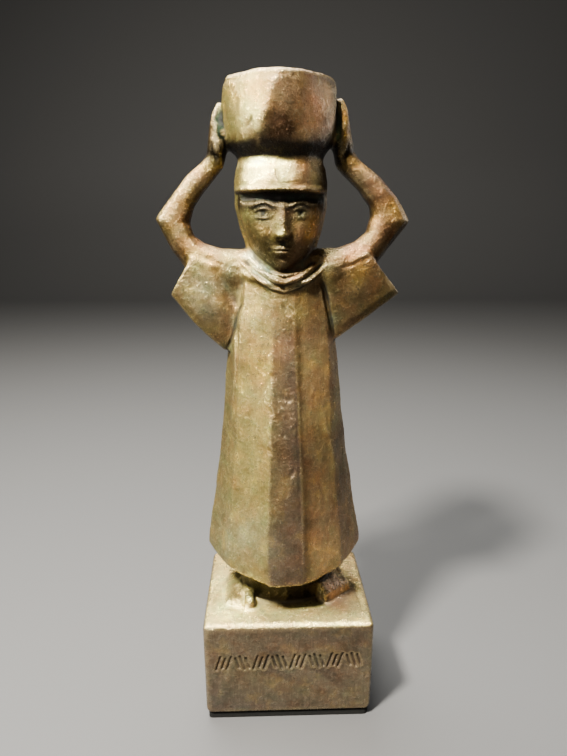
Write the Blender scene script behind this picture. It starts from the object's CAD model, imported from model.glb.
import math

import bmesh
import bpy
import numpy as np
from mathutils import Matrix, Vector, noise
from mathutils.bvhtree import BVHTree


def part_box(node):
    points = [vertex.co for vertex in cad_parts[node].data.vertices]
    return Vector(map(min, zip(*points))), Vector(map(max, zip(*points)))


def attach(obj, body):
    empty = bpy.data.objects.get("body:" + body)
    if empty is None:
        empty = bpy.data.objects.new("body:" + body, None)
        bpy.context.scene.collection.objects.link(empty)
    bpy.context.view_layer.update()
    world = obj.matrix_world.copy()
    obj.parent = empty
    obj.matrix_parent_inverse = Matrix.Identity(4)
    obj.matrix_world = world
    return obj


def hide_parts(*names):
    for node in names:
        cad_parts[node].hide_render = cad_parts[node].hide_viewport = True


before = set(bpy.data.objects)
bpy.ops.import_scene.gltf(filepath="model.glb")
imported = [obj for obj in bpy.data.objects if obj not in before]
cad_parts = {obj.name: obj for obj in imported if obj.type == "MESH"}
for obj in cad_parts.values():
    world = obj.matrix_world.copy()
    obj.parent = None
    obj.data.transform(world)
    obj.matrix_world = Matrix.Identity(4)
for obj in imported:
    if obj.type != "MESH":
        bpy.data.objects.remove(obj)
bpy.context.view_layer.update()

# Lengths are in metres, or plain millimetres where a note says so. The figure stands on a block,
# faces -Y, and leans a little to -X.
mm = 0.001
castLow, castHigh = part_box("statue")

figure = {
    "soles": 54.5 * mm,       # top of the block
    "rim": castHigh.z,        # top of the jar
    "axisAtSoles": -0.9 * mm,
    "axisLean": -2.7 * mm,    # sideways, from the soles to the rim
}


def axisX(z):
    share = (z - figure["soles"]) / (figure["rim"] - figure["soles"])
    return figure["axisAtSoles"] + figure["axisLean"] * share


# Small tools for moving many points at once.

def fade(value, low, high):
    t = np.clip((value - low) / (high - low), 0, 1)
    return t * t * (3 - 2 * t)


def between(value, low, full, fullTo, high):
    # nought at low and high, one from full to fullTo
    return fade(value, low, full) * fade(value, high, fullTo)


def bump(distance):
    d = np.clip(distance, 0, 1)
    return (1 - d * d) ** 2


def blob(points, centre, radii):
    away = (points - np.array(centre)) / np.array(radii)
    return bump(np.linalg.norm(away, axis=1))


def lineDistance(points, route, axes=(0, 2)):
    # shortest distance to a route of points, seen along the third axis, and how far along it that is
    flat = points[:, axes]
    best = np.full(len(points), 1e9)
    along = np.zeros(len(points))
    route = [np.array(p, float) for p in route]
    lengths = [np.linalg.norm(b - a) for a, b in zip(route, route[1:])]
    total, walked = sum(lengths), 0.0
    for a, b, length in zip(route, route[1:], lengths):
        t = np.clip((flat - a) @ (b - a) / length ** 2, 0, 1)
        d = np.linalg.norm(flat - a - t[:, None] * (b - a), axis=1)
        nearer = d < best
        best = np.where(nearer, d, best)
        along = np.where(nearer, (walked + t * length) / total, along)
        walked += length
    return best, along


def readPoints(mesh):
    points = np.empty(len(mesh.vertices) * 3)
    mesh.vertices.foreach_get("co", points)
    return points.reshape(-1, 3)


def readNormals(mesh):
    normals = np.empty(len(mesh.vertices) * 3)
    mesh.vertex_normals.foreach_get("vector", normals)
    return normals.reshape(-1, 3)


def writePoints(mesh, points):
    mesh.vertices.foreach_set("co", points.ravel())
    mesh.update()


def relaxed(points, edges, rounds, keep=0.0):
    # each point moves to the mean of its neighbours; keep holds part of it back
    count = len(points)
    a, b = edges[:, 0], edges[:, 1]
    links = np.maximum(np.bincount(a, minlength=count) + np.bincount(b, minlength=count), 1)
    hold = np.broadcast_to(keep, (count,))[:, None]
    for _ in range(rounds):
        total = np.stack([
            np.bincount(a, weights=points[b, k], minlength=count)
            + np.bincount(b, weights=points[a, k], minlength=count)
            for k in range(3)
        ], axis=1)
        points = points * hold + total / links[:, None] * (1 - hold)
    return points


def soften(points, edges, weight, spread):
    # relaxes one area until its corners round over about the given width
    picked = np.flatnonzero(weight > 0.01)
    place = np.full(len(points), -1)
    place[picked] = np.arange(len(picked))
    inside = place[edges]
    inside = inside[(inside >= 0).all(axis=1)]
    rounds = int(2 * (spread / skinStep()) ** 2) + 1
    points[picked] = relaxed(points[picked], inside, rounds, 1 - weight[picked])
    return points


def readEdges(mesh):
    edges = np.empty(len(mesh.edges) * 2, int)
    mesh.edges.foreach_get("vertices", edges)
    return edges.reshape(-1, 2)


def link(obj):
    bpy.context.scene.collection.objects.link(obj)
    return obj


def evaluatedMesh(obj):
    bpy.context.view_layer.update()
    return bpy.data.meshes.new_from_object(obj.evaluated_get(bpy.context.evaluated_depsgraph_get()))


# The casting: a fine skin over the solid, worked up like the wax it was cast from.

casting = {
    "voxel": 0.50 * mm,
    "quickVoxel": 0.85 * mm,
    "softening": 0.75 * mm,
    "triangles": 190000,
    "quickTriangles": 90000,
}


def skinStep():
    return casting["voxel"]


hands = {"front": -3.9 * mm, "out": 24.6 * mm, "low": 264 * mm, "high": 296 * mm}

# The feet, in millimetres, seen from above where there are two numbers.
feet = {
    "height": (0.05, 9),                           # between these, above the block, lie the solid's feet
    "rightArea": (14, 40, -28, 4), "leftArea": (-40, -12, -28, 9),
    "rightFront": [(20.7, -17.2), (34.2, -6.2)],   # the slanting toe end on the block's top, inner to outer
    "rightBack": (-0.33, 0.94), "rightLength": 17.0, "toeHeight": 5.2, "instep": 8.0, "edge": 0.7,
    "rightInset": 0.9, "rightSlope": 0.3, "rightSunk": 1.0,
    "leftFlatten": 0.45, "leftFade": 13,
    # the left foot's rounds, instep first: two ends, half width, height above the block
    "leftRounds": [
        ((-26.5, 6.0), (-24.6, -9.0), 5.2, 3.8), ((-21.2, -8.0), (-19.3, -18.3), 3.4, 5.8),
        ((-26.8, -2.0), (-25.7, -14.8), 3.6, 3.1), ((-29.4, 0.0), (-29.2, -12.4), 3.3, 2.0),
    ],
}


def plainHands(bm):
    # the hands lie along the jar like paddles: their front edge is one even plane
    for v in bm.verts:
        x = v.co.x - axisX(v.co.z)
        if abs(x) > hands["out"] and hands["low"] < v.co.z < hands["high"]:
            v.co.y = max(v.co.y, hands["front"])


def longRound(bm, start, end, half, height):
    # a lying capsule, flattened to its height
    a, b = Vector((*start, 0)) * mm, Vector((*end, 0)) * mm
    ahead = (b - a).normalized()
    made = bmesh.ops.create_uvsphere(bm, u_segments=24, v_segments=12, radius=half * mm)["verts"]
    for v in made:
        v.co.z *= height / half
        v.co += ahead * math.copysign((b - a).length / 2, v.co.dot(ahead)) + (a + b) / 2
        v.co.z += figure["soles"]


def isIn(area, x, y):
    return area[0] < x < area[1] and area[2] < y < area[3]


def trimFeet(bm, inner, ahead):
    # cuts the solid's right foot back to its toe end and flattens its left one
    for v in bm.verts:
        x, y, up = v.co.x / mm, v.co.y / mm, v.co.z - figure["soles"]
        if not feet["height"][0] * mm < up < feet["height"][1] * mm:
            continue
        if isIn(feet["rightArea"], x, y):
            past = max(0, np.dot((x - inner[0], y - inner[1]), ahead))
            v.co.x -= past * ahead[0] * mm
            v.co.y -= past * ahead[1] * mm
        if isIn(feet["leftArea"], x, y):
            share = min(1, max(0, feet["leftArea"][3] - y) / feet["leftFade"])
            v.co.z = figure["soles"] + up * (1 - (1 - feet["leftFlatten"]) * share)


def shapeFeet(bm):
    inner, outer = (np.array(p) for p in feet["rightFront"])
    across = (outer - inner) / np.linalg.norm(outer - inner)
    trimFeet(bm, inner, np.array((across[1], -across[0])))
    back = np.array(feet["rightBack"]) * feet["rightLength"]
    box = bmesh.ops.create_cube(bm, size=1)["verts"]
    for v in box:
        heel, side, top = v.co.y > 0, v.co.x > 0, v.co.z > 0
        corner = (outer if side else inner) + (back if heel else 0)
        slope = across * (-1 if side else 1) + feet["rightBack"] * np.array(feet["rightSlope"])
        inset = feet["rightInset"] * slope if top else 0 * slope
        rise = (feet["instep"] if heel else feet["toeHeight"]) if top else -feet["rightSunk"]
        v.co = Vector((*(corner + inset), 0)) * mm + Vector((0, 0, figure["soles"] + rise * mm))
    edges = list({e for v in box for e in v.link_edges})
    bmesh.ops.bevel(
        bm, geom=edges, offset=feet["edge"] * mm, affect="EDGES", segments=2, profile=0.5, material=-1,
        offset_type="OFFSET",
    )
    for start, end, half, height in feet["leftRounds"]:
        longRound(bm, start, end, half, height)


def fineSkin(node):
    bm = bmesh.new()
    bm.from_mesh(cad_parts[node].data)
    bmesh.ops.remove_doubles(bm, verts=bm.verts, dist=2e-6)
    plainHands(bm)
    shapeFeet(bm)
    mesh = bpy.data.meshes.new("castingStart")
    bm.to_mesh(mesh)
    bm.free()
    obj = link(bpy.data.objects.new("castingStart", mesh))
    remesh = obj.modifiers.new("skin", "REMESH")
    remesh.mode = "VOXEL"
    remesh.voxel_size = skinStep()
    fine = evaluatedMesh(obj)
    bpy.data.objects.remove(obj)
    return fine


strokes = {
    "groups": 8, "inGroup": 3, "margin": 5.2 * mm, "height": 33.7 * mm, "rise": 1.0 * mm,
    "length": 8.8 * mm, "shortening": 0.22, "pitch": 2.6 * mm, "slant": math.radians(17),
    "halfWidth": 0.90 * mm, "depth": 0.80 * mm, "lip": 0.12 * mm, "blockWidth": 84 * mm,
    "lipAt": 1.3, "lipHalf": 0.6,                              # in half widths of a stroke
    "front": 39 * mm, "deepest": 2.2 * mm,                     # the front's half width, and how deep it goes
    "plain": (12 * mm, 26 * mm), "row": (27 * mm, 40.5 * mm),  # heights of the plain part and of the row
}


def strokeRoutes():
    row = strokes["blockWidth"] - 2 * strokes["margin"]
    for group in range(strokes["groups"]):
        lean = strokes["slant"] * (-1) ** group
        middle = row * ((group + 0.5) / strokes["groups"] - 0.5)
        for k in range(strokes["inGroup"]):
            x = middle + (k - (strokes["inGroup"] - 1) / 2) * strokes["pitch"]
            z = strokes["height"] + strokes["rise"] * x / row
            shorter = strokes["shortening"] * ((group + k) % 2)
            half = strokes["length"] * (1 - shorter) / 2 - strokes["halfWidth"] / 2
            aside, above = math.sin(lean) * half, math.cos(lean) * half
            yield (x - aside, z - above), (x + aside, z + above)


def cutStrokes(points):
    # the block's front is laid flat where the solid has its strokes, then cut again with round grooves
    x, y, z = points.T
    front = (np.abs(x) < strokes["front"]) & (y < castLow.y + strokes["deepest"])
    plain = front & (z > strokes["plain"][0]) & (z < strokes["plain"][1])
    slope, start = np.polyfit(z[plain], y[plain], 1)
    row = front & (z > strokes["row"][0]) & (z < strokes["row"][1])
    picked = points[row]
    cut, lip = np.zeros(len(picked)), np.zeros(len(picked))
    for ends in strokeRoutes():
        d, _ = lineDistance(picked, ends)
        cut = np.maximum(cut, bump(d / strokes["halfWidth"]))
        lip = np.maximum(lip, bump(np.abs(d / strokes["halfWidth"] - strokes["lipAt"]) / strokes["lipHalf"]))
    picked[:, 1] = slope * picked[:, 2] + start + cut * strokes["depth"] - lip * (1 - cut) * strokes["lip"]
    points[row] = picked
    return points


# The face is a plain calm one on the usual divisions of a head: eyes halfway down the head,
# nose to halfway from brow to chin, mouth a third of the way below it, eyes one eye apart.

# The face's measures are in millimetres.
head = {"chin": 221.5, "crown": 273.5, "eyeWidth": 8.2, "mouthHalf": 5.4}
head["eyeLine"] = head["chin"] + 0.50 * (head["crown"] - head["chin"])
head["brow"] = head["chin"] + 0.61 * (head["crown"] - head["chin"])
head["noseBase"] = (head["brow"] + head["chin"]) / 2
head["mouth"] = head["noseBase"] - (head["noseBase"] - head["chin"]) / 3

eyes = {
    "half": 0.54, "end": 1.25, "arches": {"upper": (2.0, 0.8), "lower": (-1.5, 1.0)},   # height, power
    # along an arch: shift upward, half width, how far out, reach in half eyes
    "lids": [
        ("upper", 0.3, 0.95, 0.65, 1.3), ("upper", 2.0, 0.9, -0.45, 1.2), ("lower", -0.2, 0.8, 0.45, 1.2),
    ],
    "brow": {"drop": 0.35, "half": 1.4, "out": 0.35, "shift": 0.1, "reach": 1.5},
}

lips = {
    "upper": (1.0, 1.2, 0.30), "lower": (-1.3, 1.4, 0.20),    # height, half width, how far out
    "bow": 0.28, "bowHalf": 0.9,                              # the dip in the middle of the upper lip
    "parting": {"curve": 0.1, "half": 0.62, "out": -0.75, "reach": 1.15},
    "hollow": {"below": 3.6, "half": 1.4, "out": -0.35, "reach": 0.9},
    "groove": {"half": 1.3, "below": 2.0, "reach": 1.9, "out": -0.35},
}

# Round forms on both sides of the face: level, how far from the middle, how far above the level,
# stretch in height, half width, how far out.
rounds = [
    ("eyeLine", head["eyeWidth"], 0.3, 1.0, 1.5, -0.9),
    ("noseBase", 0.0, 2.2, 1.0, 2.7, 0.7),
    ("noseBase", 2.7, 1.5, 1.0, 1.9, 1.0),
    ("noseBase", 1.5, -0.1, 1.4, 1.0, -1.0),
    ("mouth", head["mouthHalf"], 0.0, 1.0, 1.3, -0.35),
]

faceArea = {"front": -8, "back": -24.5, "aboveChin": 0.5, "aboveBrow": 2.6, "fadeOut": 1.4}


def eyeRelief(x, z, side):
    u = (x - side * head["eyeWidth"]) / (eyes["half"] * head["eyeWidth"])
    inside = np.clip(1 - u * u, 0, 1)
    relief = np.zeros(len(x))
    for lid, shift, half, out, reach in eyes["lids"]:
        height, power = eyes["arches"][lid]
        above = z - head["eyeLine"] - height * inside ** power - shift
        relief += (np.abs(u) < eyes["end"]) * out * bump(np.abs(above) / half) * bump(np.abs(u) / reach)
    brow = eyes["brow"]
    above = z - head["brow"] + brow["drop"] * u * u
    along = np.abs(u - side * brow["shift"]) / brow["reach"]
    return relief + brow["out"] * bump(np.abs(above) / brow["half"]) * bump(along)


def mouthRelief(x, z):
    up, u = z - head["mouth"], x / head["mouthHalf"]
    inside = np.clip(1 - u * u, 0, 1)
    bow = 1 - lips["bow"] * np.exp(-(x / lips["bowHalf"]) ** 2)
    relief = np.zeros(len(x))
    for name, dip in (("upper", bow), ("lower", 1)):
        height, half, out = lips[name]
        relief += out * bump(np.abs(up - height * inside) / (half * dip)) * inside
    parting, hollow, groove = lips["parting"], lips["hollow"], lips["groove"]
    away = np.abs(up - parting["curve"] * u * u) / parting["half"]
    relief += parting["out"] * bump(away) * bump(np.abs(u) / parting["reach"])
    away = np.abs(up + hollow["below"]) / hollow["half"]
    relief += hollow["out"] * bump(away) * bump(np.abs(u) / hollow["reach"])
    away = np.abs(z - head["noseBase"] + groove["below"]) / groove["reach"]
    return relief + groove["out"] * bump(np.abs(x) / groove["half"]) * bump(away)


def faceRelief(x, z):
    # how far the finer forms of the face stand out at places across and up it
    relief = eyeRelief(x, z, -1) + eyeRelief(x, z, 1) + mouthRelief(x, z)
    for level, aside, above, stretch, half, out in rounds:
        away = np.hypot(np.abs(x) - aside, (z - head[level] - above) * stretch)
        relief += out * bump(away / half)
    return relief


def carveFace(points, normals):
    x = (points[:, 0] - axisX(points[:, 2])) / mm
    y, z = points[:, 1] / mm, points[:, 2] / mm
    top = head["brow"] + faceArea["aboveBrow"]
    area = (y < faceArea["front"]) & (y > faceArea["back"]) & (normals[:, 1] < 0.1)
    area &= (z > head["chin"] + faceArea["aboveChin"]) & (z < top)
    facing = fade(-normals[area, 1], 0.05, 0.45) * fade(top - z[area], 0, faceArea["fadeOut"])
    points[area, 1] -= faceRelief(x[area], z[area]) * facing * mm
    return points


# Broad soft facets round the jar and the cap, each between two upright ridges. The ridges are
# in degrees from the front, and lean by so many degrees a metre of height.
jarShape = {
    "middle": (-3.6 * mm, 0.5 * mm), "reach": 27 * mm,
    "heights": (270.5 * mm, 284 * mm, 306 * mm, 308 * mm),
    "smooth": (276 * mm, 280 * mm), "handsFrom": 24 * mm, "spread": 0.8 * mm,
    "ridges": (-82, -12, 70, 135, 215), "flat": 0.38, "lean": 850, "leanFrom": 292 * mm,
}
capShape = {
    "middle": (-3.2 * mm, 1.0 * mm), "reach": 26 * mm,
    "heights": (255 * mm, 256.5 * mm, 266 * mm, 271 * mm),
    "ridges": (-80, -6, 75), "flat": 0.28, "lean": -700, "leanFrom": 262 * mm,
}


def turnFromFront(points, shape):
    x, y = points[:, 0] - shape["middle"][0], points[:, 1] - shape["middle"][1]
    return np.degrees(np.arctan2(x, -y)) - (points[:, 2] - shape["leanFrom"]) * shape["lean"]


def facet(points, shape):
    x, y = points[:, 0] - shape["middle"][0], points[:, 1] - shape["middle"][1]
    around = turnFromFront(points, shape) % 360
    ridges = sorted(r % 360 for r in shape["ridges"])
    inward = np.ones(len(points))
    for a, b in zip(ridges, ridges[1:] + [ridges[0] + 360]):
        turn = (around - a) % 360
        half = math.radians(b - a) / 2
        chord = math.cos(half) / np.cos(np.radians(turn) - half)
        facing = (turn < b - a) & (half < 1)
        inward = np.where(facing, 1 + shape["flat"] * (chord - 1), inward)
    side = between(points[:, 2], *shape["heights"]) * (np.hypot(x, y) < shape["reach"])
    scale = 1 + (inward - 1) * side
    points[:, 0] = shape["middle"][0] + x * scale
    points[:, 1] = shape["middle"][1] + y * scale
    return points


jarRim = {
    "lip": 303.2 * mm, "groove": 301.4 * mm, "half": 1.4 * mm, "out": 0.12 * mm, "in": 0.16 * mm,
    "inner": 19 * mm,
}


def rollRim(points):
    # a low rounded lip round the jar's edge, with a shallow groove below it
    x, y = points[:, 0] - jarShape["middle"][0], points[:, 1] - jarShape["middle"][1]
    z, radius = points[:, 2], np.hypot(x, y)
    push = jarRim["out"] * bump(np.abs(z - jarRim["lip"]) / jarRim["half"])
    push -= jarRim["in"] * bump(np.abs(z - jarRim["groove"]) / jarRim["half"])
    wall = (radius > jarRim["inner"]) & (radius < jarShape["reach"])
    scale = 1 + wall * push / np.maximum(radius, jarRim["inner"])
    points[:, 0] = jarShape["middle"][0] + x * scale
    points[:, 1] = jarShape["middle"][1] + y * scale
    return points


cap = {
    "brim": 256.4 * mm, "droop": -0.3 * mm, "halfWidth": 20 * mm, "out": 1.5 * mm, "under": 2.0 * mm,
    "outAt": 1.0 * mm, "outHalf": 2.2 * mm, "underAt": -2.4 * mm, "underHalf": 3.0 * mm, "ends": 4 * mm,
    "front": -4 * mm, "sides": 23 * mm, "top": 266 * mm,            # the area that the edge lies in
}


def undercutCap(points, normals):
    # the cap's straight front edge stands out over the brow, with a hollow below it
    x = points[:, 0] - axisX(points[:, 2])
    rise = points[:, 2] - cap["brim"] + cap["droop"] * (x / cap["halfWidth"]) ** 2
    front = (points[:, 1] < cap["front"]) & (np.abs(x) < cap["sides"]) & (points[:, 2] < cap["top"])
    out = bump(np.abs(rise - cap["outAt"]) / cap["outHalf"]) * cap["out"]
    under = bump(np.abs(rise - cap["underAt"]) / cap["underHalf"]) * cap["under"]
    under *= fade(cap["halfWidth"] - np.abs(x), 0, cap["ends"])
    points[:, 1] -= (out - under) * front * fade(-normals[:, 1], -0.2, 0.35)
    return points


# Folds, ridges and marks of the tool, as routes seen from the front: x and z in millimetres,
# then half width and how far they stand out (or go in, below nought).

frontMarks = [
    ([(-6.8, 200), (-7.6, 177), (-8.7, 149), (-9.8, 116), (-10.9, 83)], 2.0, 0.22),
    ([(3.7, 184), (5.4, 149), (6.9, 116), (7.9, 77)], 1.7, 0.18),
    ([(3.6, 172), (4.8, 130), (6.1, 77)], 1.2, -0.2),
    ([(-25.0, 196), (-25.3, 176), (-27.0, 150)], 1.3, 0.5),
    ([(-23.6, 197), (-23.9, 176), (-25.4, 155)], 1.1, -0.45),
    ([(16.2, 160), (17.5, 152), (21.5, 137), (25.0, 123), (27.5, 108)], 1.6, 0.35),
    ([(-20.7, 210), (-23.2, 203), (-26.0, 192), (-29.0, 185)], 1.2, -0.7),
    ([(15.8, 219), (17.6, 215), (19.4, 208), (20.9, 200), (22.8, 191)], 1.1, -0.35),
    ([(14.6, 216), (16.2, 208), (18.4, 199), (20.6, 190)], 1.2, 0.45),
    ([(-31.5, 222), (-29.0, 216), (-26.0, 210), (-22.5, 207)], 3.2, -0.5),
    ([(-44.0, 222), (-38.0, 214), (-33.0, 208)], 3.0, -0.45),
    ([(-40.0, 229), (-31.0, 225.5), (-22.0, 222.5)], 1.8, -0.3),
    ([(22.0, 222.5), (31.0, 226.0), (38.0, 229.5)], 1.8, -0.3),
    ([(-22, 227), (-15, 220.3), (-7.8, 215.8), (-2, 214.0), (5, 216.2), (13.5, 221.3), (17.5, 225)],
     1.1, 0.80),
    ([(-19.6, 226.8), (-14, 222.0), (-7.8, 217.7), (-2, 215.8), (4.8, 218.0), (12.6, 222.9), (16.4, 226)],
     1.0, -0.80),
    ([(-17.6, 228.4), (-13, 224.2), (-7.6, 220.0), (-2, 217.9), (4.6, 220.1), (11.6, 224.7), (15.2, 227.6)],
     1.1, 0.60),
    ([(-15.8, 229.0), (-12, 225.8), (-7.4, 222.0), (-2, 219.7), (4.4, 221.8), (10.6, 226.0)], 0.8, -0.45),
    ([(-3.6, 165.6), (-0.7, 163.8), (1.4, 164.8)], 1.7, -0.4),
    ([(-2.6, 148.3), (0.6, 145.4)], 1.6, -0.3),
    ([(0.5, 127.5), (3.4, 131.5)], 1.7, -0.4),
    ([(-2.5, 208.0), (-1.2, 205.5)], 0.9, -0.5),
    ([(0.2, 207.4), (2.4, 204.8)], 0.9, -0.5),
    ([(-1.0, 203.2), (1.4, 201.6)], 0.8, 0.35),
    ([(-17.6, 282.5), (-16.2, 284.0), (-15.6, 286.0)], 0.7, -0.5),
    ([(-7.8, 176), (-7.2, 174)], 1.3, -0.5),
    ([(-8.6, 160), (-8.0, 157)], 1.4, -0.6),
    ([(-9.2, 141), (-8.4, 138.5)], 1.3, -0.5),
]


markEnds = {"taper": 0.18, "least": 0.4}     # share of a mark that tapers at each end, and how far down


def pressMarks(points, normals):
    front = fade(-normals[:, 1], 0.1, 0.5) * (points[:, 1] < 2 * mm)
    for route, half, out in frontMarks:
        d, along = lineDistance(points, [np.array(p) * mm for p in route])
        ends = np.minimum(fade(along, 0, markEnds["taper"]), fade(1 - along, 0, markEnds["taper"]))
        ends = markEnds["least"] + (1 - markEnds["least"]) * ends
        push = bump(d / (half * mm)) * ends * out * mm * front
        points += normals * push[:, None]
    return points


# Clefts between the toes, seen from above, in millimetres: where, half width and depth. The right
# foot's are given by their share of the toe end, the left foot's by their routes.
toeClefts = {
    "right": [(0.30, 0.8, 0.35), (0.52, 0.7, 0.30), (0.76, 0.7, 0.30)],
    "left": [
        ([(-23.0, -24), (-22.9, -17), (-22.2, -11)], 0.8, 1.1), ([(-25.4, -24), (-26.2, -9)], 0.7, 0.35),
        ([(-28.2, -24), (-28.8, -8)], 0.7, 0.30),
    ],
    "ahead": 3, "behind": 15, "lowest": 0.6, "highest": 9, "inner": 12, "furthestBack": 9, "taper": 0.3,
}


def cutToes(points, normals):
    inner, outer = (np.array(p) for p in feet["rightFront"])
    back = np.array(feet["rightBack"])
    clefts = list(toeClefts["left"])
    for share, half, depth in toeClefts["right"]:
        start = inner + (outer - inner) * share
        clefts.append(([start - back * toeClefts["ahead"], start + back * toeClefts["behind"]], half, depth))
    x, y, up = points[:, 0] / mm, points[:, 1] / mm, (points[:, 2] - figure["soles"]) / mm
    area = (up > toeClefts["lowest"]) & (up < toeClefts["highest"])
    area &= (np.abs(x) > toeClefts["inner"]) & (y < toeClefts["furthestBack"])
    picked = points[area]
    cut = np.zeros(len(picked))
    for route, half, depth in clefts:
        d, along = lineDistance(picked, [np.array(p) * mm for p in route], (0, 1))
        cut = np.maximum(cut, depth * bump(d / (half * mm)) * fade(1 - along, 0, toeClefts["taper"]))
    points[area] = picked - normals[area] * (cut * mm)[:, None]
    return points


# Corners that run softly into one another, in millimetres: how far the area reaches and how wide it rounds.
rounding = {
    "jarFoot": {"heights": (267, 270, 284, 290), "radii": (12, 15, 26, 27), "spread": 3.6},
    "block": {"top": 56, "reach": 4, "spread": 1.4},
    "folds": [
        {"route": [(-20, 226.5), (-14, 220), (-8, 215.6), (-1.8, 213.8), (5, 215.8), (12.6, 221), (16, 224)],
         "reach": 7, "spread": 2.6, "top": (224, 220)},
        {"route": [(-20.7, 212), (-23.2, 203), (-26.0, 192), (-29.0, 184)], "reach": 5, "spread": 2.2},
        {"route": [(16.2, 221), (19.4, 209), (20.9, 200), (23.2, 189)], "reach": 5, "spread": 2.2},
    ],
    "foldFront": -3,
}


def softenForms(points, edges):
    # the jar's foot rounds under in one sweep, and the collar and sleeves run softly into the robe
    x, y, z = points.T
    radius = np.hypot(x - jarShape["middle"][0], y - jarShape["middle"][1]) / mm
    foot = rounding["jarFoot"]
    under = between(z / mm, *foot["heights"]) * between(radius, *foot["radii"])
    points = soften(points, edges, under, foot["spread"] * mm)
    inX, inY = strokes["blockWidth"] / 2 - np.abs(x), castHigh.y - np.abs(y)
    topEdges = np.hypot(figure["soles"] - z, np.minimum(inX, inY))
    block = rounding["block"]
    nearEdge = np.minimum(topEdges, np.hypot(inX, inY)) * np.where(z > block["top"] * mm, 10, 1)
    points = soften(points, edges, bump(nearEdge / (block["reach"] * mm)), block["spread"] * mm)
    front = y < rounding["foldFront"] * mm
    for fold in rounding["folds"]:
        near = lineDistance(points, [np.array(p) * mm for p in fold["route"]])[0]
        area = bump(near / (fold["reach"] * mm)) * front
        if "top" in fold:
            area = area * fade(z / mm, *fold["top"])
        points = soften(points, edges, area, fold["spread"] * mm)
    return points


# Hand-worked unevenness: how far out in millimetres, how many to the metre, flattening in height.
# Below are places with less or more of it, by middle and radii in millimetres.
lumps = {
    "broad": (0.42, 120, 0.6), "fine": (0.12, 330, 0.8),
    "onBlock": 0.45, "onFace": 0.25, "onCap": 2.2,      # shares of it
    "face": ((axisX(0.24) / mm, -16, 240), (18, 14, 20)), "cap": ((-3, -14, 264), (26, 18, 11)),
}


def softLumps(points, normals):
    (broad, broadScale, broadFlat), (fine, fineScale, fineFlat) = lumps["broad"], lumps["fine"]
    spread = np.empty(len(points))
    for i, (x, y, z) in enumerate(points):
        spread[i] = broad * noise.noise(Vector((x, y, z * broadFlat)) * broadScale)
        spread[i] += fine * noise.noise(Vector((x, y, z * fineFlat)) * fineScale + Vector((7, 3, 1)))
    spread *= np.where(points[:, 2] < figure["soles"] - 1 * mm, lumps["onBlock"], 1.0)
    spread *= np.where(blob(points / mm, *lumps["face"]) > 0, lumps["onFace"], 1.0)
    spread *= 1 + (lumps["onCap"] - 1) * blob(points / mm, *lumps["cap"])
    return points + normals * (spread * mm)[:, None]


def thinned(mesh, triangles):
    obj = link(bpy.data.objects.new("castingThin", mesh))
    thin = obj.modifiers.new("thin", "DECIMATE")
    count = sum(len(p.vertices) - 2 for p in mesh.polygons)
    thin.ratio = min(1.0, triangles / count)
    result = evaluatedMesh(obj)
    bpy.data.objects.remove(obj)
    return result


def keepInside(points):
    # the casting stays within the solid's own box
    return np.clip(points, np.array(castLow), np.array(castHigh))


def openness(mesh, reach, rays):
    # share of short rays that leave each point freely: low in creases and under the jar
    points, normals = readPoints(mesh), readNormals(mesh)
    tree = BVHTree.FromPolygons([Vector(p) for p in points], [list(p.vertices) for p in mesh.polygons])
    golden = math.pi * (3 - math.sqrt(5))
    fan = []
    for i in range(rays):
        rise = 1 - (i + 0.5) / rays * 0.92        # the last rays run almost along the surface
        flat = math.sqrt(1 - rise * rise)
        fan.append(Vector((flat * math.cos(golden * i), flat * math.sin(golden * i), rise)))
    free = np.zeros(len(points))
    for i, (p, n) in enumerate(zip(points, normals)):
        normal = Vector(n)
        turn = Vector((0, 0, 1)).rotation_difference(normal)
        start = Vector(p) + normal * 0.15 * mm
        met = 0.0
        for ray in fan:
            hit = tree.ray_cast(start, turn @ ray, reach)
            if hit[0] is not None:
                met += 1 - hit[3] / reach
        free[i] = 1 - met / rays
    return free


# Colours of the patina. Each spot is a place in millimetres, a radius, a colour and its strength.

patina = {
    "soot": (0.006, 0.005, 0.004),
    "umber": (0.026, 0.015, 0.008),
    "bronze": (0.120, 0.073, 0.036),
    "plum": (0.135, 0.092, 0.068),
    "earth": (0.150, 0.116, 0.082),
    "olive": (0.290, 0.235, 0.070),
    "gold": (0.400, 0.215, 0.024),
    "pale": (0.760, 0.680, 0.235),
    "copper": (0.240, 0.098, 0.042),
    "rust": (0.120, 0.042, 0.014),
    "slate": (0.060, 0.064, 0.064),
    "leaf": (0.020, 0.036, 0.018),
    "jade": (0.070, 0.125, 0.080),
    "mist": (0.520, 0.560, 0.330),
}

blockTop = figure["soles"] / mm   # spots at this height colour only what faces up

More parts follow.
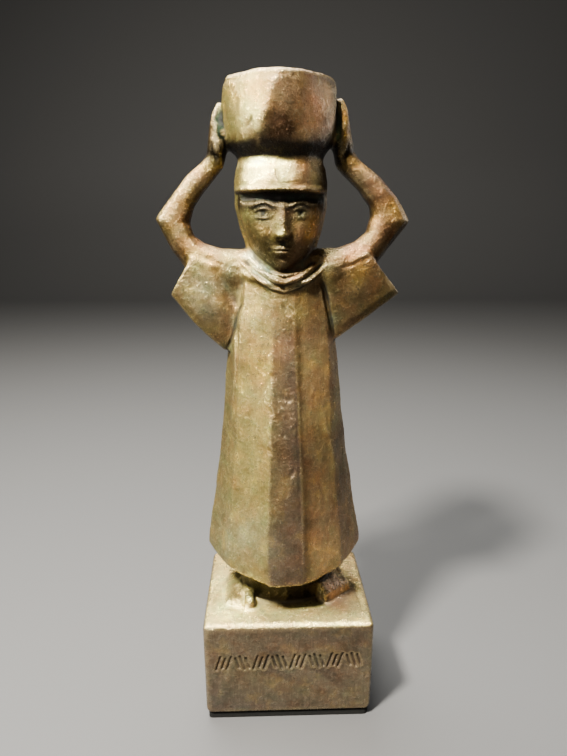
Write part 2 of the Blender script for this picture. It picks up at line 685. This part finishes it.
patinaSpots = [
    # the jar: golden left half, browner right, a dark red-brown patch low in the middle, dark below
    (-22, -14, 292, 12, "olive", 0.8), (-14, -20, 295, 9, "gold", 0.7), (-16, -20, 287, 7, "pale", 0.5),
    (-15, -19, 279, 7, "bronze", 0.6), (6, -24, 294, 9, "bronze", 0.4), (14, -19, 290, 9, "copper", 0.35),
    (19, -14, 298, 5, "gold", 0.4), (-3, -25, 293, 6, "bronze", 0.7), (-5, -24, 284, 6, "umber", 1.2),
    (-4, -24, 282, 7, "rust", 0.7), (0, -24, 280, 5, "umber", 1.2), (10, -21, 288, 7, "copper", 0.4),
    (13, -19, 281, 5, "bronze", 0.5), (14, -12, 273, 3, "jade", 0.9), (17, -8, 275, 3, "jade", 0.8),
    # the cap: pale at the left, coppery at the right
    (-14, -17, 266, 9, "pale", 0.9), (-4, -20, 264, 7, "pale", 0.6), (7, -19, 264, 7, "copper", 0.5),
    (14, -13, 262, 6, "olive", 0.6),
    # the face and hood: green in the hollows, rust between, golden cheeks
    (-12, -14, 238, 6, "leaf", 0.55), (-15, -9, 238, 4, "jade", 0.5), (-12, -12, 230, 4, "jade", 0.5),
    (-9, -16, 231, 5, "umber", 0.8), (-14, -12, 246, 4, "jade", 0.6), (-11, -16, 247.5, 4, "leaf", 1.2),
    (5, -16, 247.5, 4, "leaf", 1.1), (-11, -16, 246.5, 2.5, "soot", 0.9),
    (5.5, -16, 246.5, 2.5, "soot", 0.8), (-3, -19, 249, 3, "rust", 1.1), (11, -14, 240, 6, "gold", 0.9),
    (-3, -20, 235, 2.5, "leaf", 0.8), (-3, -18, 226, 4, "umber", 0.9), (13, -13, 250, 3, "gold", 0.5),
    (-17, -11, 250, 3, "pale", 0.4), (-3, -20, 233, 3, "umber", 0.5), (-10, -17, 240, 3, "gold", 0.3),
    (0, -20, 230, 4, "rust", 0.6), (-17, -9, 246, 5, "olive", 0.6), (-3.5, -22, 239.5, 2, "pale", 0.8),
    # arms and sleeves
    (-44, -6, 232, 7, "rust", 0.6), (-57, -2, 243, 8, "olive", 0.7), (-50, -3, 236, 7, "olive", 0.5),
    (-38, -4, 262, 7, "rust", 0.5), (-47, -3, 256, 8, "olive", 0.6), (-34, -4, 284, 4, "pale", 0.4),
    (-34, -4, 272, 7, "olive", 0.6), (52, -2, 248, 8, "gold", 0.9), (46, -3, 238, 6, "rust", 0.6),
    (48, -3, 232, 6, "umber", 0.4), (33, -4, 266, 6, "bronze", 0.8), (40, -4, 258, 7, "copper", 0.7),
    (30, -5, 276, 5, "copper", 0.6), (33, -8, 224, 6, "gold", 0.8), (40, -8, 216, 6, "copper", 0.4),
    (30, -7, 208, 8, "umber", 0.5), (24, -7, 202, 6, "umber", 0.6), (26, -8, 216, 5, "copper", 0.4),
    (-42, -8, 226, 7, "olive", 0.8), (-34, -7, 222, 5, "gold", 0.5), (-30, -7, 216, 5, "umber", 0.5),
    (-33, -7, 210, 5, "gold", 0.5), (-38, -7, 204, 7, "slate", 0.55), (-50, -8, 216, 6, "slate", 0.3),
    (-44, -8, 212, 6, "olive", 0.5), (-14, -12, 222, 3, "jade", 0.7), (-13, -11, 226, 3.5, "mist", 0.8),
    (-9, -15, 221.5, 4, "mist", 0.9), (-17, -6, 229, 3, "mist", 0.7), (-8, -14, 217, 3, "jade", 0.8),
    (5, -15, 217, 3, "jade", 0.7), (10, -12, 220.5, 3, "jade", 0.7), (3, -16, 220, 3, "copper", 0.7),
    (9, -12, 223, 3, "gold", 0.6), (-6, -16, 220.5, 2, "pale", 0.6), (-24, -7, 198, 4, "jade", 0.7),
    (-29, -4, 186, 4, "jade", 0.6), (21, -6, 199, 3.5, "jade", 0.6), (-25, -6, 268, 4, "jade", 0.6),
    (-31, -3, 276, 4, "leaf", 0.8), (24, -5, 270, 4, "jade", 0.6), (-27, -8, 222, 4, "jade", 0.35),
    (19, -8, 226, 4, "jade", 0.4),
    # the chest and the robe, left to right
    (-12, -14, 202, 12, "olive", 0.85), (-14, -12, 182, 12, "gold", 0.45), (3, -15, 205, 7, "olive", 0.35),
    (0, -15, 190, 6, "copper", 0.3), (10, -14, 200, 8, "rust", 0.35), (-16, -16, 160, 14, "olive", 0.7),
    (-17, -17, 135, 15, "olive", 0.85), (-20, -18, 110, 16, "olive", 0.85),
    (-22, -17, 90, 18, "mist", 0.45), (-38, -8, 214, 10, "mist", 0.30), (17, -15, 170, 12, "copper", 0.25),
    (18, -15, 150, 12, "olive", 0.25), (12, -20, 120, 8, "rust", 0.3), (17, -20, 92, 10, "copper", 0.25),
    (28, -12, 115, 9, "umber", 0.5), (-1, -22, 135, 6, "copper", 0.25), (-2, -25, 100, 8, "plum", 0.5),
    # below the hem
    (-12, -12, 60, 10, "soot", 0.9), (0, -15, 60, 10, "soot", 0.9), (12, -12, 60, 9, "soot", 0.85),
    (22, -4, 62, 9, "umber", 0.8), (25, -12, 60, 8, "plum", 1.2), (22, -17, 57, 5, "plum", 0.8),
    (33, -6, 59, 3, "gold", 0.3), (-18, -22, 55.5, 3, "bronze", 0.7), (-16, -17, 56, 2.5, "bronze", 0.6),
    (-24, -16, 58, 8, "olive", 0.8), (-22, -15, 61, 4, "pale", 0.6),
    # the block
    (-31, -34, 9, 12, "slate", 1.2), (-16, -34, 8, 10, "slate", 0.9), (8, -34, 12, 12, "olive", 0.22),
    (28, -34, 12, 12, "olive", 0.25), (-36, -34, 34, 8, "rust", 0.2), (-22, -34, 26, 9, "olive", 0.25),
    (24, -34, 42, 8, "olive", 0.15), (-26, -22, blockTop, 20, "pale", 0.95),
    (-30, 0, blockTop, 14, "pale", 0.8), (-6, -32, blockTop, 9, "pale", 1.2),
    (12, -32, blockTop, 11, "pale", 1.3), (32, -31, blockTop, 9, "pale", 1.2),
    (32, -8, blockTop, 11, "plum", 0.6), (30, -18, blockTop, 7, "copper", 0.2),
]


# Places in millimetres that areas are measured from: middle and radii.
places = {
    "face": ((axisX(0.24) / mm, -18, 240), (24, 16, 26)),
    "jarLowMiddle": ((-4, -24, 281), (9, 9, 9)),
    "capLeft": ((-15, -17, 264), (10, 10, 10)),
    "leftFoot": ((-24, -14, 59), (11, 11, 11)),
    "rightFoot": ((26, -8, 59), (14, 14, 14)),
}

edgeStep = 0.01   # millimetres over which a hard limit runs

# Areas, each by one measure of a point: nought at the first limit, full at the second and, where there are
# four limits, full up to the third and nought at the fourth. Lengths are in millimetres: side is the distance
# from the middle, band the distance into the front band. Turn is in degrees round the jar.
areas = {
    "figure": ("z", 56, 60), "block": ("z", 54, 52), "robe": ("z", 66, 74, 196, 212),
    "jar": ("z", 274, 278, 298, 302), "jarSide": ("side", 25, 25 - edgeStep),
    "facingLeft": ("left", 0.1, 0.6), "facingRight": ("right", 0.1, 0.6), "cloudy": ("clouds", 0.7, 0.2),
    "front": ("y", edgeStep, 0), "wholeFront": ("y", -6 + edgeStep, -6),
    "sleeveFront": ("y", -3 + edgeStep, -3),
    "band": ("band", -0.8, 0.8), "belowChest": ("z", 215, 170), "belowArmpits": ("z", 195, 170),
    "jarFront": ("turn", -18, -6, 30, 70), "jarRight": ("turn", 15, 35),
    "jarMiddle": ("turn", -18, -8, 10, 24),
    "armSides": ("side", 25, 31), "armLevel": ("z", 222, 228), "notUpward": ("down", -0.6, 0.1),
    "underBrim": ("z", 246.5, 250.5, 255.5, 257.5), "underHem": ("z", 54.9, 56.2, 66, 70),
    "hemSide": ("side", 25, 25 - edgeStep), "betweenFeet": ("gap", 0, 1),
    "rightSide": ("x", 16, 26), "upperPart": ("z", 190, 205),
    "palms": ("z", 268, 273, 288, 296), "leftPalm": ("x", -30, -28.6, -24.6 - edgeStep, -24.6),
    "rightPalm": ("x", 24.6, 24.6 + edgeStep, 26.4, 27.4), "leftHand": ("x", -24.6, -24.6 - edgeStep),
    "rightHand": ("x", 27.0, 28.5), "handLevel": ("z", 264, 272),
    "undersides": ("down", 0.15, 0.75), "facingDown": ("down", -0.1, 0.4),
    "jarFoot": ("z", 267, 270, 276, 282), "jarShadow": ("z", 269, 272, 275, 281),
    "blockFront": ("y", -30, -33), "blockSides": ("z", 53, 50), "strokesUp": ("z", 22, 34),
    "facingUp": ("up", 0.5, 0.9), "upToSoles": ("z", 56.5, 55.5),
    "sleeveSide": ("x", 20, 26), "sleeveLevel": ("z", 190, 198, 222, 228),
    "robeRight": ("x", 10, 14), "robeLow": ("z", 150, 105),
    "chestRight": ("x", 7, 10), "chest": ("z", 120, 165),
    "robeMiddle": ("x", -10, -6), "robeFoot": ("z", 130, 85),
    "face": ("face", 0.0, 0.25), "faceLeft": ("x", 9, -1), "faceRight": ("x", 3, 9),
    "underJar": ("z", 266, 270, 275, 280), "underJarSide": ("side", 24, 24 - edgeStep),
    "forearm": ("x", 20, 30), "forearmLevel": ("z", 250, 262),
    "jarLowMiddle": ("jarLowMiddle", 0.05, 0.5), "capLeft": ("capLeft", 0.05, 0.5),
    "leftFoot": ("leftFoot", 0.05, 0.5), "aboveBlock": ("z", 55, 55 + edgeStep),
    "rightFoot": ("rightFoot", 0.1, 0.4), "offBlock": ("z", 55, 56), "footSide": ("x", 15, 18),
}

# Tints before and after the spots: areas that overlap, strength, colour.
tintsBefore = [
    ("figure facingLeft", 0.65, "olive"), ("figure facingRight", 0.50, "bronze"),
    ("block", 0.80, "earth"), ("block cloudy", 0.30, "umber"),
    ("robe band front belowChest", 0.70, "plum"), ("jar jarSide jarFront", 0.60, "bronze"),
    ("armSides armLevel", 0.45, "copper"),
]
tintsAfter = [
    ("wholeFront underBrim", 0.92, "soot"), ("underHem hemSide betweenFeet", 0.95, "soot"),
    ("rightSide upperPart", 0.35, "umber"),
    ("palms front leftPalm", 1.0, "leaf"), ("palms front rightPalm", 0.9, "leaf"),
    ("rightHand handLevel", 0.7, "gold"), ("undersides", 0.75, "umber"),
    ("jarFoot facingDown", 1.0, "soot"), ("jarShadow", 0.78, "soot"),
]

# How much brighter, or darker below nought, the metal was left there than elsewhere.
brightness = {
    "armSides armLevel notUpward": -0.72, "armSides armLevel notUpward forearm forearmLevel": -0.25,
    "blockFront blockSides": 0.45, "blockFront blockSides strokesUp": -0.22, "facingUp upToSoles": 0.75,
    "sleeveSide sleeveLevel sleeveFront": -0.42, "robe band front belowArmpits": -0.30,
    "robe robeRight robeLow": 1.0, "robe chestRight chest": 1.2, "robe robeMiddle robeFoot": 0.35,
    "face faceLeft": -0.62, "face faceRight": 0.3, "palms front leftHand": -0.55,
    "jar jarSide jarRight": 0.8, "jar jarSide jarMiddle": -0.30, "underJar underJarSide": 2.0,
    "jarLowMiddle": -0.45, "capLeft": 0.7, "leftFoot aboveBlock": -0.3, "rightFoot offBlock footSide": 2.4,
}

bareMetal = {
    "brightness": 0.84, "olive": 0.45,                         # before tints
    "clouds": ((0.9, 55), (0.5, 150)),                         # strength and number to the metre
    "spotReach": 1.5, "spotLeast": 0.30, "spotClouds": 0.7,    # how wide and how clouded the spots are
}


# In millimetres: the flat band down the robe's front, as wide as given at one height and narrower above it,
# and the feet's fronts, each by its inner side, how far back it goes and how high.
frontBand = {"middle": 0.2, "half": 9.4, "at": 80, "narrowing": 0.042}
footFronts = {"right": (13, 2, 62.5), "left": (-16.5, 6, 60.5)}


def feetGap(x, y, z):
    # nought on the feet's fronts, one elsewhere
    (rightIn, rightBack, rightTop), (leftIn, leftBack, leftTop) = footFronts["right"], footFronts["left"]
    rightFoot = (x >= rightIn) & (y <= rightBack) & (z <= rightTop)
    leftFoot = (x <= leftIn) & (y <= leftBack) & (z <= leftTop)
    return 1.0 - (rightFoot | leftFoot)


def measures(points, normals, clouds):
    x, y, z = (points[:, 0] - axisX(points[:, 2])) / mm, points[:, 1] / mm, points[:, 2] / mm
    bandHalf = frontBand["half"] - (z - frontBand["at"]) * frontBand["narrowing"]
    found = {
        "x": x, "y": y, "z": z, "side": np.abs(x), "clouds": clouds,
        "band": bandHalf - np.abs(x - frontBand["middle"]),
        "left": -normals[:, 0], "right": normals[:, 0], "down": -normals[:, 2], "up": normals[:, 2],
        "turn": turnFromFront(points, jarShape), "gap": feetGap(x, y, z),
    }
    for name, (middle, radii) in places.items():
        found[name] = blob(points / mm, middle, radii)
    return found


def areaWeight(found, names):
    weight = 1.0
    for name in names.split():
        kind, *limits = areas[name]
        value = found[kind]
        weight = weight * (between(value, *limits) if len(limits) == 4 else fade(value, *limits))
    return weight


def paintPatina(mesh):
    points, normals = readPoints(mesh), readNormals(mesh)
    colours = {name: np.array(rgb) for name, rgb in patina.items()}
    (broad, broadScale), (fine, fineScale) = bareMetal["clouds"]
    clouds = np.empty(len(points))
    for i, p in enumerate(points):
        at = Vector(p)
        clouds[i] = 0.5 + broad * noise.noise(at * broadScale)
        clouds[i] += fine * noise.noise(at * fineScale + Vector((5, 1, 9)))
    clouds = np.clip(clouds, 0, 1)
    found = measures(points, normals, clouds)
    green = bareMetal["olive"] * clouds[:, None]
    base = colours["bronze"] * (1 - green) + colours["olive"] * green

    def tint(weight, name):
        nonlocal base
        w = np.clip(weight, 0, 1)[:, None]
        base = base * (1 - w) + colours[name] * w

    for names, strength, name in tintsBefore:
        tint(areaWeight(found, names) * strength, name)
    rough = bareMetal["spotLeast"] + bareMetal["spotClouds"] * clouds
    for x, y, z, radius, name, strength in patinaSpots:
        spot = blob(points / mm, (x, y, z), [radius * bareMetal["spotReach"]] * 3)
        if z == blockTop:
            spot = spot * fade(normals[:, 2], 0.2, 0.8)
        tint(spot * strength * rough, name)
    for names, strength, name in tintsAfter:
        tint(areaWeight(found, names) * strength, name)
    shares = np.full(len(points), bareMetal["brightness"])
    for names, change in brightness.items():
        shares *= 1 + change * areaWeight(found, names)
    return base * shares[:, None]


def colourAttribute(mesh, name, rgb):
    layer = mesh.attributes.new(name, "FLOAT_COLOR", "POINT")
    rgba = np.ones((len(rgb), 4), np.float32)
    rgba[:, :3] = rgb
    layer.data.foreach_set("color", rgba.ravel())


def keepCurves(mesh, spacing):
    # hollows (above nought) and ridges (below) of about one and three millimetres, stored on the skin
    points, normals, edges = readPoints(mesh), readNormals(mesh), readEdges(mesh)
    share = (casting["voxel"] / spacing) ** 2
    near = relaxed(points, edges, int(4 * share) + 1)
    wide = relaxed(near, edges, int(45 * share))
    for name, smooth in (("fineCurve", near), ("broadCurve", wide)):
        depth = np.einsum("ij,ij->i", smooth - points, normals) / mm
        layer = mesh.attributes.new(name, "FLOAT", "POINT")
        layer.data.foreach_set("value", depth.astype(np.float32))


def readLayer(mesh, name):
    values = np.empty(len(mesh.vertices))
    mesh.attributes[name].data.foreach_get("value", values)
    return values


# Where dirt, wear and verdigris are less than the forms alone would make them: middle and radii of the
# places in millimetres, and the share that goes.
ageing = {
    "rays": 14, "quickRays": 8, "reach": 14,          # short rays from each point, and how far they go
    "rightFoot": ((27, -8, 58), (19, 19, 19)), "leftFoot": ((-23, -16, 57), (13, 13, 13)),
    "rightFrom": 15, "footDirt": 0.8, "leftShare": 0.6,
    "collar": ((-4, -14, 221), (20, 12, 9)), "collarDirt": 0.5,
    "faceWear": 0.7, "handGreen": 0.75,
    "greenFrom": (180, 200), "handSide": (24, 25), "handLevel": (264, 270), "handMiddle": -3.5,
}


def agePatina(mesh):
    # dirt in creases, wear on edges and verdigris, kept together as one colour
    points = readPoints(mesh) / mm
    fine, broad = readLayer(mesh, "fineCurve"), readLayer(mesh, "broadCurve")
    rays = ageing["rays"]
    free = openness(mesh, ageing["reach"] * mm, rays)
    crease = fade(fine, 0.02, 0.14) * 0.5 + fade(broad, 0.08, 0.5) * 0.5
    crease = np.clip(crease + fade(1 - free, 0.35, 0.90), 0, 1)
    edge = fade(-fine, 0.015, 0.12) * 0.8 + fade(-broad, 0.15, 0.7) * 0.35
    edge = np.clip(edge, 0, 1) * fade(free, 0.35, 0.75)
    foot = fade(blob(points, *ageing["rightFoot"]), 0.1, 0.4) * (points[:, 0] > ageing["rightFrom"])
    foot += ageing["leftShare"] * fade(blob(points, *ageing["leftFoot"]), 0.1, 0.4)
    crease *= 1 - ageing["footDirt"] * foot
    crease *= 1 - ageing["collarDirt"] * fade(blob(points, *ageing["collar"]), 0, 0.3)
    edge *= 1 - ageing["faceWear"] * fade(blob(points, *places["face"]), 0.0, 0.2)
    green = np.clip(fade(1 - free, 0.30, 0.75) + fade(broad, 0.12, 0.5) * 0.6, 0, 1)
    green *= fade(points[:, 2], *ageing["greenFrom"])
    side = np.abs(points[:, 0] - ageing["handMiddle"])
    hand = fade(side, *ageing["handSide"]) * fade(points[:, 2], *ageing["handLevel"])
    green *= 1 - ageing["handGreen"] * hand
    return np.stack([crease, edge, green], axis=1)


def buildCasting():
    mesh = fineSkin("statue")
    print("fine skin:", len(mesh.vertices), "points")
    edges = readEdges(mesh)
    points = readPoints(mesh)
    points = cutStrokes(soften(points, edges, np.ones(len(points)), casting["softening"]))
    points = softenForms(points, edges)
    writePoints(mesh, points)
    points = cutToes(points, readNormals(mesh))
    points = facet(facet(points, jarShape), capShape)
    side = np.abs(points[:, 0] - jarShape["middle"][0]) < jarShape["handsFrom"]
    jarSide = fade(points[:, 2], *jarShape["smooth"]) * side
    points = rollRim(soften(points, edges, jarSide, jarShape["spread"]))
    writePoints(mesh, points)
    points = undercutCap(points, readNormals(mesh))
    writePoints(mesh, points)
    points = carveFace(points, readNormals(mesh))
    writePoints(mesh, points)
    points = pressMarks(points, readNormals(mesh))
    writePoints(mesh, relaxed(points, edges, 1, 0.5))
    keepCurves(mesh, skinStep())
    mesh = thinned(mesh, casting["triangles"])
    points = softLumps(readPoints(mesh), readNormals(mesh))
    writePoints(mesh, keepInside(points))
    mesh.shade_smooth()
    print("casting:", len(mesh.polygons), "faces")
    colourAttribute(mesh, "patina", paintPatina(mesh))
    colourAttribute(mesh, "age", agePatina(mesh))
    return link(bpy.data.objects.new("bronzeCasting", mesh))


# Materials

class Nodes:
    # short way to lay out a material's nodes
    def __init__(self, name):
        self.material = bpy.data.materials.new(name)
        self.material.use_nodes = True
        self.tree = self.material.node_tree
        self.shader = self.tree.nodes["Principled BSDF"]
        self.place = self.tree.nodes.new("ShaderNodeTexCoord").outputs["Object"]

    def put(self, kind, inputs=None, **settings):
        node = self.tree.nodes.new("ShaderNode" + kind)
        for name, value in settings.items():
            setattr(node, name, value)
        for name, value in (inputs or {}).items():
            self.wire(value, node.inputs[name])
        return node

    def wire(self, value, socket):
        if isinstance(value, bpy.types.NodeSocket):
            self.tree.links.new(value, socket)
        else:
            socket.default_value = value

    def noise(self, scale, detail=4, rough=0.5, stretch=(1, 1, 1), at=(0, 0, 0)):
        mapped = self.put("Mapping", {"Vector": self.place, "Scale": stretch, "Location": at}).outputs[0]
        made = self.put("TexNoise", {"Vector": mapped, "Scale": scale, "Detail": detail, "Roughness": rough})
        return made.outputs["Fac"]

    def range(self, value, low, high, toLow=0.0, toHigh=1.0):
        ends = {"From Min": low, "From Max": high, "To Min": toLow, "To Max": toHigh}
        return self.put("MapRange", {"Value": value, **ends}).outputs[0]

    def maths(self, operation, a, b):
        return self.put("Math", {0: a, 1: b}, operation=operation).outputs[0]

    def mix(self, amount, a, b, blend="MIX"):
        node = self.put("Mix", data_type="RGBA", blend_type=blend)
        self.wire(amount, node.inputs[0])
        self.wire(a, node.inputs[6])
        self.wire(b, node.inputs[7])
        return node.outputs[2]

    def attribute(self, name):
        return self.put("Attribute", attribute_name=name).outputs["Color"]


# Colours of the bronze's finish. The first four multiply the patina, the others lie over it.
finish = {
    "darker": (0.42, 0.36, 0.30, 1), "lighter": (1.85, 1.72, 1.10, 1),
    "redder": (1.28, 0.84, 0.66, 1), "greener": (0.72, 0.98, 0.95, 1),
    "flecks": (0.50, 0.40, 0.19, 1), "worn": (0.44, 0.33, 0.16, 1), "dirt": (0.006, 0.005, 0.004, 1),
    "verdigrisDark": (0.010, 0.024, 0.014, 1), "verdigrisLight": (0.075, 0.155, 0.100, 1),
    "specular": 0.12, "roughest": 0.37, "smoothest": 0.22,
    "relief": {"mottle": 0.70, "cloudy": 0.5, "streak": 0.16, "hair": 0.08, "speckle": 0.32},
    "reliefStrength": 0.68, "reliefDepth": 1.3 * mm,
}


def bronzeMaterial():
    n = Nodes("agedBronze")
    age = n.put("SeparateColor", {0: n.attribute("age")})
    crease, edge, green = age.outputs[0], age.outputs[1], age.outputs[2]
    grain = {
        "cloudy": n.noise(110, 5, 0.62),
        "mottle": n.noise(430, 6, 0.70, at=(3, 1, 7)),
        "speckle": n.noise(1700, 4, 0.7, at=(1, 5, 2)),
        "streak": n.noise(420, 5, 0.65, stretch=(4.0, 4.0, 0.28), at=(2, 8, 1)),
        "hair": n.noise(900, 3, 0.6, stretch=(3.5, 3.5, 0.12), at=(9, 2, 4)),
    }
    cloudy, mottle, speckle = grain["cloudy"], grain["mottle"], grain["speckle"]

    tone = n.range(mottle, 0.28, 0.72, 0.66, 1.34)
    tone = n.maths("MULTIPLY", tone, n.range(grain["streak"], 0.30, 0.70, 0.80, 1.22))
    tone = n.maths("MULTIPLY", tone, n.range(speckle, 0.32, 0.68, 0.72, 1.30))
    shade = n.put("CombineColor", {0: tone, 1: tone, 2: tone}).outputs[0]
    colour = n.mix(1.0, n.attribute("patina"), shade, "MULTIPLY")
    cast = {
        name: n.mix(1.0, colour, finish[name], "MULTIPLY")
        for name in ("darker", "lighter", "redder", "greener")
    }
    warm = n.noise(130, 5, 0.6, at=(7, 7, 2))
    colour = n.mix(n.range(cloudy, 0.52, 0.68, 0, 0.55), colour, cast["darker"])
    colour = n.mix(n.range(cloudy, 0.46, 0.32, 0, 0.55), colour, cast["lighter"])
    colour = n.mix(n.range(warm, 0.50, 0.70, 0, 0.40), colour, cast["redder"])
    colour = n.mix(n.range(warm, 0.48, 0.32, 0, 0.50), colour, cast["greener"])
    colour = n.mix(n.range(speckle, 0.66, 0.74, 0, 0.30), colour, finish["flecks"])
    worn = n.maths("MULTIPLY", edge, n.range(cloudy, 0.40, 0.62, 0.1, 1.0))
    colour = n.mix(n.maths("MULTIPLY", worn, 0.45), colour, finish["worn"])
    patch = n.range(n.noise(210, 5, 0.65, at=(4, 4, 4)), 0.44, 0.60)
    verdigris = n.maths("MULTIPLY", green, patch)
    greens = n.mix(n.range(mottle, 0.46, 0.68), finish["verdigrisDark"], finish["verdigrisLight"])
    colour = n.mix(n.maths("MULTIPLY", verdigris, 0.85), colour, greens)
    dirty = n.maths("MULTIPLY", n.range(crease, 0.15, 0.85), n.range(mottle, 0.25, 0.60, 1.0, 0.85))
    colour = n.mix(n.maths("MULTIPLY", dirty, 0.90), colour, finish["dirt"])
    n.wire(colour, n.shader.inputs["Base Color"])
    n.shader.inputs["Specular IOR Level"].default_value = finish["specular"]

    dull = n.maths("MAXIMUM", verdigris, n.maths("MULTIPLY", dirty, 0.7))
    n.wire(n.range(dull, 0, 1, 0.88, 0.10), n.shader.inputs["Metallic"])
    rough = n.range(mottle, 0.30, 0.70, finish["roughest"], finish["smoothest"])
    rough = n.maths("ADD", rough, n.maths("MULTIPLY", dull, 0.30))
    rough = n.maths("SUBTRACT", rough, n.maths("MULTIPLY", worn, 0.08))
    n.wire(rough, n.shader.inputs["Roughness"])

    height = 0.0
    for name, share in finish["relief"].items():
        height = n.maths("ADD", height, n.maths("MULTIPLY", grain[name], share))
    relief = {"Strength": finish["reliefStrength"], "Distance": finish["reliefDepth"], "Height": height}
    n.wire(n.put("Bump", relief).outputs[0], n.shader.inputs["Normal"])
    return n.material


def padMaterial():
    n = Nodes("blackFelt")
    grain = n.noise(1800, 4, 0.7)
    felt = n.mix(n.range(grain, 0.35, 0.65), (0.002, 0.002, 0.002, 1), (0.008, 0.008, 0.007, 1))
    n.wire(felt, n.shader.inputs["Base Color"])
    n.shader.inputs["Roughness"].default_value = 0.95
    n.shader.inputs["Specular IOR Level"].default_value = 0.1
    relief = n.put("Bump", {"Strength": 0.5, "Distance": 0.0002, "Height": grain})
    n.wire(relief.outputs[0], n.shader.inputs["Normal"])
    return n.material


# Stage, lights and camera

studio = {
    "floor": (0.036, 0.036, 0.036),
    "sky": (0.30, 0.31, 0.33),
    "skyStrength": 0.13,
    "half": 1.6,        # half the floor's width, and the height of the wall behind it
    "bend": 0.5,        # radius of the bend between them
    "bendSteps": 14,
}


def buildStage():
    bm = bmesh.new()
    bmesh.ops.create_grid(bm, x_segments=1, y_segments=1, size=studio["half"])
    back = [e for e in bm.edges if all(v.co.y > 0 for v in e.verts)]
    bmesh.ops.spin(
        bm, geom=back, cent=(0, studio["half"], studio["bend"]), axis=(1, 0, 0), angle=math.pi / 2,
        steps=studio["bendSteps"], use_merge=False, use_duplicate=False,
    )
    top = [e for e in bm.edges if all(v.co.z > studio["bend"] - 0.1 * mm for v in e.verts)]
    raised = bmesh.ops.extrude_edge_only(bm, edges=top)["geom"]
    wallTop = [v for v in raised if isinstance(v, bmesh.types.BMVert)]
    bmesh.ops.translate(bm, verts=wallTop, vec=(0, 0, studio["half"]))
    bmesh.ops.recalc_face_normals(bm, faces=bm.faces)
    mesh = bpy.data.meshes.new("studioFloor")
    bm.to_mesh(mesh)
    bm.free()
    mesh.shade_smooth()
    obj = link(bpy.data.objects.new("studioFloor", mesh))
    n = Nodes("paleFloor")
    n.shader.inputs["Base Color"].default_value = (*studio["floor"], 1)
    n.shader.inputs["Roughness"].default_value = 0.75
    mesh.materials.append(n.material)


def addLight(name, place, target, size, power, colour=(1, 1, 1)):
    light = bpy.data.lights.new(name, "AREA")
    light.shape = "DISK"
    light.size = size
    light.energy = power
    light.color = colour
    obj = link(bpy.data.objects.new(name, light))
    aim = (Vector(target) - Vector(place)).to_track_quat("-Z", "Y").to_matrix().to_4x4()
    obj.matrix_world = Matrix.Translation(place) @ aim


def buildLights():
    middle = (0, 0, 0.17)
    addLight("keyLight", (-0.34, -0.36, 0.86), middle, 0.12, 100.0, (1.0, 0.95, 0.86))
    addLight("topLight", (-0.14, 0.25, 0.92), middle, 0.50, 36.0, (1.0, 0.98, 0.93))
    addLight("sideLight", (-0.85, -0.45, 0.50), middle, 0.60, 8.0, (1.0, 0.95, 0.86))
    addLight("fillLight", (0.60, -0.85, 0.50), middle, 0.60, 1.2, (1.0, 0.93, 0.85))
    addLight("rimLight", (0.70, 0.40, 0.45), middle, 0.35, 2.5, (0.95, 0.97, 1.0))
    world = bpy.data.worlds.new("studioSky")
    bpy.context.scene.world = world
    world.use_nodes = True
    background = world.node_tree.nodes["Background"]
    background.inputs["Color"].default_value = (*studio["sky"], 1)
    background.inputs["Strength"].default_value = studio["skyStrength"]


photo = {
    "focalPixels": 600,
    "longSidePixels": 756,
    "place": (-0.01154, -0.28528, 0.24527),
    "down": math.radians(14.80),
    "turn": math.radians(1.97),
    "roll": math.radians(0.09),
}


def buildCamera():
    down, turn = photo["down"], photo["turn"]
    level = Vector((math.sin(turn), math.cos(turn), 0)) * math.cos(down)
    ahead = level - Vector((0, 0, math.sin(down)))
    right = Vector((math.cos(turn), -math.sin(turn), 0))
    axes = Matrix((right, right.cross(ahead), -ahead)).transposed()
    camera = bpy.data.cameras.new("photoCamera")
    camera.lens = photo["focalPixels"] / photo["longSidePixels"] * camera.sensor_width
    obj = link(bpy.data.objects.new("photoCamera", camera))
    turned = axes @ Matrix.Rotation(photo["roll"], 3, "Z")
    obj.matrix_world = Matrix.Translation(photo["place"]) @ turned.to_4x4()
    bpy.context.scene.camera = obj


buildStage()
buildLights()
buildCamera()
print("stage, lights and camera are in place")

bronzeCasting = buildCasting()
bronzeCasting.data.materials.append(bronzeMaterial())
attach(bronzeCasting, "root")
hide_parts("statue")
print("bronze casting is finished")

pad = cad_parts["base_pad"]
pad.data.materials.clear()
pad.data.materials.append(padMaterial())
print("pad has its felt")
